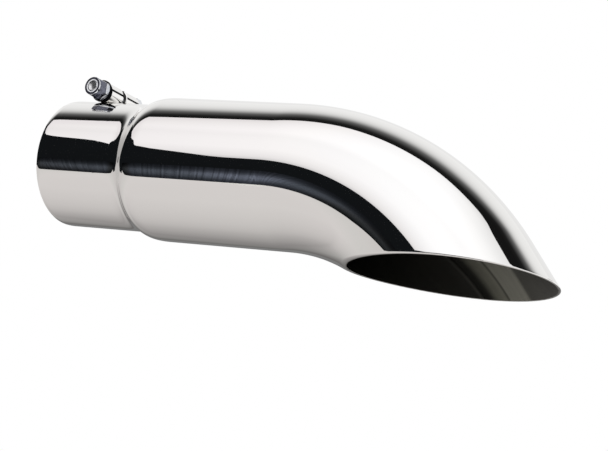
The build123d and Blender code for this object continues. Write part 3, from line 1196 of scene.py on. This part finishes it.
@dataclass(frozen=True)
class Streaks:
    """Fine streaks on a card, curved so that a straight tube along X mirrors them square to its axis."""

    width: float
    contrast: float  # share by which they darken and lighten the card
    height: float  # level of the tube over the card's near edge
    distance: float  # of the card from the tube, along Y
    skew: float  # how far along X the view runs for each metre across
    spread: tuple[float, float] = (0.35, 0.65)  # levels of their noise that darkest and lightest belong to

    def layer(self, tree: bpy.types.NodeTree, split: bpy.types.Node) -> bpy.types.NodeSocket:
        """Add the streaks' shades to a card's material.

        Args:
            tree: the material's tree.
            split: the node with the card's X, and the distance from its near edge as Y.

        Returns:
            The shade's socket.
        """
        drop = add_node(tree, "ShaderNodeMath", {0: split.outputs["Y"], 1: self.height}, operation="SUBTRACT")
        leg = add_node(tree, "ShaderNodeCombineXYZ", {0: self.distance, 1: drop.outputs[0]})
        way = add_node(tree, "ShaderNodeVectorMath", {0: leg.outputs[0]}, operation="LENGTH")
        skewed = {0: way.outputs["Value"], 1: self.skew, 2: split.outputs["X"]}
        spot = add_node(tree, "ShaderNodeMath", skewed, operation="MULTIPLY_ADD")
        grain = {"W": spot.outputs[0], "Scale": 1 / self.width, "Detail": 2}
        noise = add_node(tree, "ShaderNodeTexNoise", grain, noise_dimensions="1D")
        levels = {"Value": noise.outputs["Fac"], "From Min": self.spread[0], "From Max": self.spread[1]}
        levels |= {"To Min": 1 - self.contrast, "To Max": 1 + self.contrast}
        return add_node(tree, "ShaderNodeMapRange", levels).outputs[0]


@dataclass
class Studio:
    """A pale floor, soft light, and the dark and light cards that a mirror finish needs around it."""

    floor_level: float = -0.45
    floor_colour: str = "#EFEDEA"
    floor_roughness: float = 0.9
    floor_size: float = 6.0
    flag_colour: str = "#121416"
    flag_place: float = -0.745  # the front flag's distance along Y
    flag_end: float = 0.6  # its right end, along X
    fold_place: float = -1.28  # where along X its foot is turned up
    fold_end: float = -0.95  # and where the foot is level again
    fold_lift: float = 0.11
    near_flag_place: float = -0.3  # along Y
    near_flag_foot: float = 0.01
    left_place: float = -3.0  # the left flag's distance along X
    left_gap: float = 0.05  # from the left flag back to the wall
    rear_place: float = 2.0  # the rear wall's distance along Y
    strip_height: float = 1.0
    lay: float = 0.001  # a card lies this far over what it covers
    softbox_ends: tuple[float, float] = (-3.2, 2.5)  # along X
    softbox_foot: tuple[float, float] = (-2.2, -0.2)  # its lower edge, along Y and Z
    softbox_top: tuple[float, float] = (0.6, 5.5)
    softbox_level: float = 1.2
    bar_ends: tuple[float, float] = (0.44, 0.78)  # the flag beside the nut, along X
    bar_place: float = 1.0
    bar_heights: tuple[float, float] = (0.64, 0.94)
    room_fill: float = 0.6  # the white room's strength where it lights, next to 1 where it is mirrored
    lamp_spot: Point = (-0.2, -1.0, 1.4)
    lamp_aim: Point = (0.15, 0.0, 0.0)
    lamp_size: float = 1.0
    lamp_power: float = 12.0
    camera_spot: Point = (0.8226, -0.9453, -0.2967)
    camera_turn: Point = (103.5965, -13.30236, 31.95855)  # degrees about X, then Y, then Z
    lens: float = 139.12  # millimetres, for a picture of the sensor's width
    sensor_width: float = 36.0
    far_clip: float = 50.0
    picture_width: int = 608  # pixels

    def card(
        self,
        name: str,
        near: list[Point],
        far: list[Point],
        material: bpy.types.Material,
        border: list[float] | None = None,
    ) -> None:
        """Hang a card that only reflections show.

        Args:
            name: the card's name.
            near: the points of one long edge.
            far: the points of the other, as many.
            material: its material.
            border: how far from each near point the shades begin to change.
        """
        points, count = [*near, *far], len(near)
        mesh = bpy.data.meshes.new(name)
        mesh.from_pydata(points, [], [(k, k + 1, count + k + 1, count + k) for k in range(count - 1)])
        late = border or [0.0] * count
        depth = [-wait for wait in late] + [math.dist(*ends) - wait for *ends, wait in zip(near, far, late)]
        skin = mesh.uv_layers.new(name=CARD_MAP)
        for loop in mesh.loops:
            skin.data[loop.index].uv = points[loop.vertex_index][0], depth[loop.vertex_index]
        mesh.materials.append(material)
        card = put(name, mesh)
        card.visible_camera = False
        card.visible_diffuse = False
        card.visible_shadow = False

    def glow(
        self,
        name: str,
        along: Shades = (),
        across: Shades = (),
        streaks: Streaks | None = None,
        level: float = 1.0,
    ) -> bpy.types.Material:
        """Make the material of a card with shades, which are multiplied together.

        Args:
            name: the material's name.
            along: its colours along the scene's X.
            across: its shades away from the near edge.
            streaks: streaks that it has.
            level: brightness of its white.

        Returns:
            The material.
        """
        material, tree = new_material(name)
        place = add_node(tree, "ShaderNodeUVMap", uv_map=CARD_MAP)
        split = add_node(tree, "ShaderNodeSeparateXYZ", {0: place.outputs[0]})
        rows = (("X", along), ("Y", across))
        layers = [colour_row(tree, split.outputs[axis], shades) for axis, shades in rows if shades]
        if streaks:
            layers.append(streaks.layer(tree, split))
        colour = layers[0]
        for layer in layers[1:]:
            both = {0: colour, 1: layer}
            colour = add_node(tree, "ShaderNodeVectorMath", both, operation="MULTIPLY").outputs[0]
        shader = add_node(tree, "ShaderNodeEmission", {"Color": colour, "Strength": level})
        add_node(tree, "ShaderNodeOutputMaterial", {"Surface": shader.outputs[0]})
        return material

    def floor(self) -> None:
        """Lay the plain pale floor."""
        material, tree = new_material("pale_paper_floor")
        paper = {"Base Color": linear(self.floor_colour), "Roughness": self.floor_roughness}
        shader = add_node(tree, "ShaderNodeBsdfPrincipled", paper)
        add_node(tree, "ShaderNodeOutputMaterial", {"Surface": shader.outputs[0]})
        reach, level = self.floor_size, self.floor_level
        signs = ((-1, -1), (1, -1), (1, 1), (-1, 1))
        corners = [(x * reach, y * reach, level) for x, y in signs]
        mesh = bpy.data.meshes.new("floor")
        mesh.from_pydata(corners, [], [[0, 1, 2, 3]])
        mesh.materials.append(material)
        floor = put("floor", mesh)

    def black_flags(self) -> None:
        """Hang the black flags: in front, close to the clamp, at the left, and beside the nut."""
        low, y, left = self.floor_level, self.flag_place, self.left_place
        black, tree = new_material("black_flag")
        shader = add_node(tree, "ShaderNodeEmission", {"Color": linear(self.flag_colour), "Strength": 1.0})
        add_node(tree, "ShaderNodeOutputMaterial", {"Surface": shader.outputs[0]})
        outline = [(self.flag_end, 0.07), (-0.3, 0.09), (-0.395, 0.09), (-0.413, 0.1), (-0.456, 0.15)]
        outline += [(-0.5, 0.197), (-0.52, 0.17), (-0.6, 0.22), (-0.75, 0.33), (-0.9, 0.5)]
        outline += [(self.fold_end, 0.572), (self.fold_place, 0.86), (-1.45, 1.1), (-1.7, 1.43)]
        outline += [(-1.95, 1.95), (-2.2, 2.4), (-2.45, 3.2), (left, 3.4)]
        foot = [(x, y, low + self.fold_lift * (x == self.fold_place)) for x, _ in outline]
        self.card("front_flag", foot, [(x, y, z) for x, z in outline], black)

        outline = [(-0.13, 0.066), (-0.148, 0.083), (-0.172, 0.095), (-0.182, 0.106), (-0.19, 0.119)]
        outline += [(-0.2, 0.132), (-0.21, 0.144), (-0.22, 0.151), (-0.25, 0.165), (-0.275, 0.183)]
        outline += [(-0.345, 0.226)]
        close = self.near_flag_place
        foot = [(x, close, self.near_flag_foot) for x, _ in outline]
        self.card("near_flag", foot, [(x, close, z) for x, z in outline], black)

        outline = [(low, -0.74), (-0.3, -0.7), (-0.1, -0.5), (0.1, -0.38), (0.3, -0.42), (0.5, -0.58)]
        outline += [(0.75, -0.68), (1.0, -0.74), (1.6, -0.74), (2.0, -0.55), (2.4, -0.42), (3.4, -0.4)]
        back = [(left, y, z) for z, _ in outline]
        self.card("left_flag", back, [(left, edge, z) for z, edge in outline], black)

        foot, top = ([(x, self.bar_place, height) for x in self.bar_ends] for height in self.bar_heights)
        self.card("side_bar", foot, top, black)

    def left_wall(self) -> None:
        """Hang the grey wall behind the left flag."""
        shades = (
            (0.0, "#C7C5C4"),
            (0.35, "#C7C5C4"),
            (0.55, "#BDBBBA"),
            (0.75, "#B2B0AF"),
            (1.05, "#B2B0AF"),
            (1.35, "#B6B4B3"),
            (1.6, "#BDBBBA"),
            (1.75, "#D0CECD"),
            (1.85, "#DBD9D8"),
            (4.0, "#DEDCDB"),
        )
        x, low, ends = self.left_place - self.left_gap, self.floor_level, (self.flag_place, self.rear_place)
        foot, top = ([(x, y, height) for y in ends] for height in (low, low + shades[-1][0]))
        self.card("left_wall", foot, top, self.glow("left_wall", across=shades))

    def streaky_foot(self) -> None:
        """Hang the streaky foot of the front flag."""
        hem = (
            (-1.3, "#18191B"),
            (-1.0, "#252729"),
            (-0.75, "#303234"),
            (-0.68, "#37393D"),
            (-0.6, "#41454C"),
            (-0.48, "#4A4F58"),
            (-0.42, "#5E6370"),
            (-0.38, "#5E6370"),
            (-0.3, "#4A4F58"),
        )
        fold = (
            (0.0, "#8F8F8F"),
            (0.06, "#A4A4A4"),
            (0.1, "#DCDCDC"),
            (0.15, "#FFFFFF"),
            (0.19, "#F4F4F4"),
            (0.23, "#AFAFAF"),
            (0.27, "#797979"),
            (0.32, "#595959"),
        )
        streaks = Streaks(width=2.2 * MM, contrast=0.6, height=0.445, distance=0.71, skew=0.75)
        lifts = {self.fold_place: self.fold_lift, self.fold_end: 0.0, self.flag_end: 0.0}
        y, low = self.flag_place + self.lay, self.floor_level
        foot = [(x, y, low + lift) for x, lift in lifts.items()]
        top = [(x, y, low + fold[-1][0]) for x in lifts]
        border = [-lift for lift in lifts.values()]
        self.card("streaky_foot", foot, top, self.glow("streaky_card_foot", hem, fold, streaks), border)

    def softbox(self) -> None:
        """Hang the big softbox that leans over from the front."""
        white = (
            (-1.9, "#E0DCDE"),
            (-1.75, "#E5E2E3"),
            (-1.4, "#EEEBED"),
            (-1.1, "#F4F2F3"),
            (-0.85, "#F6F5F7"),
            (-0.5, "#FAFAFC"),
            (0.0, "#FDFDFF"),
            (0.4, "#FBFBFD"),
            (0.8, "#F5F5F6"),
            (1.3, "#EAEAEB"),
        )
        fall = (
            (0.55, "#DADADA"),
            (0.66, "#EBEBEB"),
            (0.85, "#F3F3F3"),
            (1.1, "#FAFAFA"),
            (1.5, "#FAFAFA"),
            (1.85, "#F8F8F8"),
            (2.2, "#FFFFFF"),
            (2.4, "#FFFFFF"),
            (3.0, "#FCFCFC"),
            (3.5, "#F8F8F8"),
            (4.2, "#F6F6F6"),
            (5.4, "#EAEAEA"),
        )
        edges = (self.softbox_foot, self.softbox_top)
        foot, top = ([(x, *edge) for x in self.softbox_ends] for edge in edges)
        self.card("softbox", foot, top, self.glow("softbox", white, fall, level=self.softbox_level))

    def overhead_strip(self) -> None:
        """Hang the overhead strip, with a curved edge towards the front that goes over to dark."""
        edge = [(-1.4, -0.74), (-0.884, -0.41), (-0.714, -0.31), (-0.571, -0.234), (-0.515, -0.207)]
        edge += [(-0.246, -0.106), (0.02, -0.041), (0.216, 0.009), (0.36, 0.03), (0.46, 0.046), (0.52, 0.03)]
        edge += [(0.58, -0.025), (0.75, -0.1), (1.6, -0.3)]
        border = [0.0] * 8 + [0.05, 0.1, 0.16, 0.22, 0.24, 0.24]
        rise = (
            (0.0, "#161616"),
            (0.1, "#1D1D1D"),
            (0.15, "#353535"),
            (0.2, "#4D4D4D"),
            (0.25, "#636363"),
            (0.3, "#898989"),
            (0.35, "#AAAAAA"),
            (0.4, "#C4C4C4"),
            (0.45, "#D4D4D4"),
            (0.5, "#DFDFDF"),
            (0.6, "#EAEAEA"),
            (0.75, "#F1F1F1"),
            (1.3, "#F6F6F6"),
        )
        height, depth = self.strip_height, rise[-1][0]
        near, far = ([(x, y + reach, height) for x, y in edge] for reach in (0.0, depth))
        self.card("overhead_strip", near, far, self.glow("overhead_strip", across=rise), border)

    def table_top(self) -> None:
        """Lay the table top, which gets darker towards the rear."""
        edge = [(-2.6, -0.85), (-1.3, -0.82), (-0.9, -0.745), (-0.75, -0.745), (-0.56, -0.745)]
        edge += [(-0.5, -0.745), (-0.42, -0.68), (2.6, -0.68)]
        border = [0.35, 0.35, 0.35, 0.35, 0.15, 0.05, 0.0, 0.0]
        along = (
            (-1.3, "#D0CCCB"),
            (-0.74, "#D5D3D1"),
            (-0.55, "#DCD8D7"),
            (-0.4, "#DBD7D6"),
            (0.0, "#DCD9D7"),
        )
        across = (
            (0.0, "#FFFFFF"),
            (0.45, "#FDFDFD"),
            (0.62, "#F6F6F6"),
            (0.74, "#EEEEEE"),
            (0.84, "#E3E3E3"),
            (0.94, "#D2D2D2"),
            (1.07, "#C1C1C1"),
            (1.25, "#AEAEAE"),
            (1.6, "#999999"),
            (2.0, "#8A8A8A"),
        )
        level, back = self.floor_level + self.lay, self.rear_place
        near, far = [(x, y, level) for x, y in edge], [(x, back, level) for x, _ in edge]
        self.card("table_top", near, far, self.glow("table_top", along, across), border)

    def rear_wall(self) -> None:
        """Hang the rear wall, grey at its foot."""
        rise = (
            (0.0, "#7C7C7C"),
            (0.45, "#7C7C7C"),
            (0.8, "#737373"),
            (0.89, "#959595"),
            (0.97, "#EDEDED"),
            (2.95, "#F0F0F0"),
        )
        ends, low = (-2.6, 0.4), self.floor_level + self.lay
        foot, top = ([(x, self.rear_place, z) for x in ends] for z in (low, low + rise[-1][0]))
        self.card("rear_wall", foot, top, self.glow("rear_wall", across=rise))

    def light(self) -> None:
        """Light the room: a white world and one soft lamp."""
        world = bpy.data.worlds.new("white_room")
        bpy.context.scene.world = world
        world.use_nodes = True
        tree = world.node_tree
        tree.nodes.clear()
        path = add_node(tree, "ShaderNodeLightPath").outputs
        seen = path["Is Camera Ray"]
        for kind in ("Is Glossy Ray", "Is Transmission Ray"):
            seen = add_node(tree, "ShaderNodeMath", {0: seen, 1: path[kind]}, operation="MAXIMUM").outputs[0]
        levels = {"Value": seen, "To Min": self.room_fill, "To Max": 1.0}
        strength = add_node(tree, "ShaderNodeMapRange", levels).outputs[0]
        white = add_node(tree, "ShaderNodeBackground", {"Color": (1, 1, 1, 1), "Strength": strength})
        add_node(tree, "ShaderNodeOutputWorld", {"Surface": white.outputs[0]})

        lamp = bpy.data.lights.new("soft_lamp", "AREA")
        lamp.shape = "SQUARE"
        lamp.size = self.lamp_size
        lamp.energy = self.lamp_power
        holder = put("soft_lamp", lamp)
        spot = Vector(self.lamp_spot)
        turn = (Vector(self.lamp_aim) - spot).to_track_quat("-Z", "Y").to_matrix().to_4x4()
        holder.matrix_world = Matrix.Translation(spot) @ turn
        holder.visible_glossy = False

    def camera(self) -> None:
        """Set the camera where the photograph was taken from."""
        half_pixel = 0.5 / self.picture_width
        data = bpy.data.cameras.new("camera")
        data.sensor_width = self.sensor_width
        data.lens = self.lens
        data.shift_x = -half_pixel
        data.shift_y = half_pixel
        data.clip_end = self.far_clip
        camera = put("camera", data)
        turn = Euler([math.radians(angle) for angle in self.camera_turn]).to_matrix().to_4x4()
        camera.matrix_world = Matrix.Translation(self.camera_spot) @ turn
        bpy.context.scene.camera = camera

    def build(self) -> None:
        """Build the floor, the cards, the light and the camera."""
        bpy.context.scene.view_settings.view_transform = "Standard"
        self.floor()
        self.black_flags()
        self.left_wall()
        self.streaky_foot()
        self.softbox()
        self.overhead_strip()
        self.table_top()
        self.rear_wall()
        self.light()
        self.camera()


def main() -> None:
    """Load the solids, dress them and set the studio up."""
    logging.basicConfig(level=logging.INFO, format="%(name)s: %(message)s")
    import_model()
    for sub_assembly in (TipBody(), InletCollar(), Clamp()):
        sub_assembly.dress()
    Studio().build()


if __name__ == "__main__":
    main()
